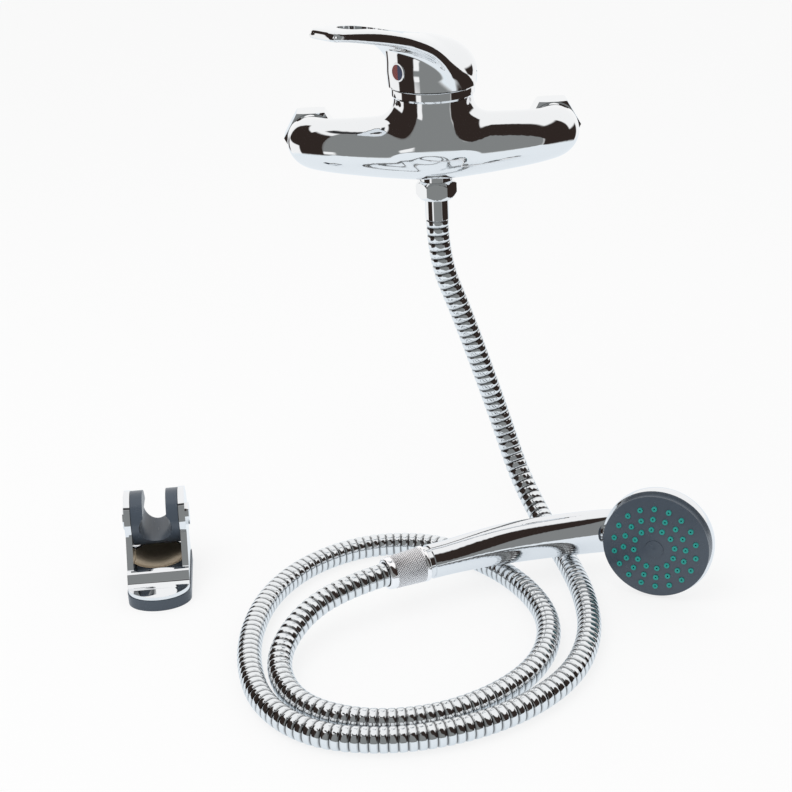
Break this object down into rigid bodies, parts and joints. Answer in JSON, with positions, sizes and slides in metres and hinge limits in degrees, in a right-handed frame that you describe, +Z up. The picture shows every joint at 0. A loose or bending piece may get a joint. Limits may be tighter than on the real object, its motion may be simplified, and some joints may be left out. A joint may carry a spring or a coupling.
{
  "type": "shower mixer",
  "caption": "Exposed wall-mounted single-lever shower mixer with flexible ribbed hose, round handset and tilting wall bracket.",
  "frame": {"origin": "midpoint between the two wall inlets, on the wall-side plane of their union nuts", "axes": "+X to the right seen from the room, +Y to the wall, +Z up"},
  "size_m": [0.3597, 0.3098, 0.3359],
  "materials": {
    "chrome": "polished chrome plate on brass",
    "chrome_plastic": "polished chrome plate on plastic",
    "hose_metal": "bright ribbed metal",
    "slate_plastic": "satin slate grey",
    "teal_rubber": "soft teal",
    "black_rubber": "dull",
    "brass": "machined",
    "white_plastic": "moulded",
    "ceramic": "lapped ceramic",
    "steel": "machined",
    "red_mark": "gloss",
    "blue_mark": "gloss"
  },
  "bodies": {
    "root": {"mixer_body": "chrome", "inlet_tail_left": "brass", "inlet_tail_right": "brass", "inlet_washer_left": "black_rubber", "inlet_washer_right": "black_rubber", "cartridge_base": "white_plastic", "cartridge_seals": "black_rubber", "ceramic_disc_fixed": "ceramic", "cartridge_housing": "white_plastic", "retaining_nut": "brass", "cover_ring": "chrome", "hose_washer": "black_rubber", "hose_tail": "brass", "hose_ferrule": "chrome", "hose_casing": "hose_metal", "hose_liner": "white_plastic", "handset_body": "chrome_plastic", "handset_nipple": "white_plastic", "flow_restrictor": "white_plastic", "spray_plate": "slate_plastic", "nozzle_mat": "teal_rubber", "spray_backing": "white_plastic", "head_seal": "black_rubber", "face_screw": "steel", "centre_cap": "slate_plastic", "cone_washer": "black_rubber", "cone_tail": "brass", "bracket_plate": "slate_plastic", "bracket_cover": "chrome_plastic", "cover_screw": "steel", "pivot_caps": "chrome"},
    "inlet_nut_left": {"inlet_nut_left": "chrome"},
    "inlet_nut_right": {"inlet_nut_right": "chrome"},
    "hose_nut": {"hose_nut": "chrome"},
    "cone_nut": {"cone_nut": "chrome"},
    "turret": {"cartridge_turret": "white_plastic", "stem_pin": "steel"},
    "disc_slider": {"ceramic_disc_moving": "ceramic", "disc_carrier": "white_plastic"},
    "lever": {"lever": "chrome", "cartridge_stem": "steel", "lever_screw": "steel", "indicator_rim": "chrome", "indicator_red": "red_mark", "indicator_blue": "blue_mark"},
    "fork": {"bracket_fork": "slate_plastic", "fork_pins": "slate_plastic", "fork_o_rings": "black_rubber"}
  },
  "joints": [
    {"name": "inlet_nut_left_spin", "type": "hinge", "parent": "root", "child": "inlet_nut_left", "pos_m": [-0.075, -0.0085, 0], "axis": [0, 1, 0], "continuous": true},
    {"name": "inlet_nut_right_spin", "type": "hinge", "parent": "root", "child": "inlet_nut_right", "pos_m": [0.075, -0.0085, 0], "axis": [0, 1, 0], "continuous": true},
    {"name": "hose_nut_spin", "type": "hinge", "parent": "root", "child": "hose_nut", "pos_m": [0, -0.048, -0.0271], "axis": [0, 0, 1], "continuous": true},
    {"name": "cone_nut_spin", "type": "hinge", "parent": "root", "child": "cone_nut", "pos_m": [-0.03044, -0.16086, -0.22672], "axis": [-0.9046, -0.4263, 0.0007], "continuous": true},
    {"name": "lever_turn", "type": "hinge", "parent": "root", "child": "turret", "pos_m": [0, -0.048, 0.029], "axis": [0, 0, 1], "range_deg": [0, 100]},
    {"name": "lever_lift", "type": "hinge", "parent": "turret", "child": "lever", "pos_m": [0, -0.048, 0.029], "axis": [-0.6428, 0.766, 0], "range_deg": [0, 22]},
    {"name": "disc_slide", "type": "slide", "parent": "turret", "child": "disc_slider", "axis": [-0.766, -0.6428, 0], "range_m": [0, 0.00505]},
    {"name": "fork_tilt", "type": "hinge", "parent": "root", "child": "fork", "pos_m": [-0.1847, -0.0986, -0.216], "axis": [0.9965, 0.0837, 0], "range_deg": [-35, 35]}
  ],
  "couplings": [
    {"joint": "disc_slide", "follows": "lever_lift", "m_per_rad": 0.013}
  ]
}
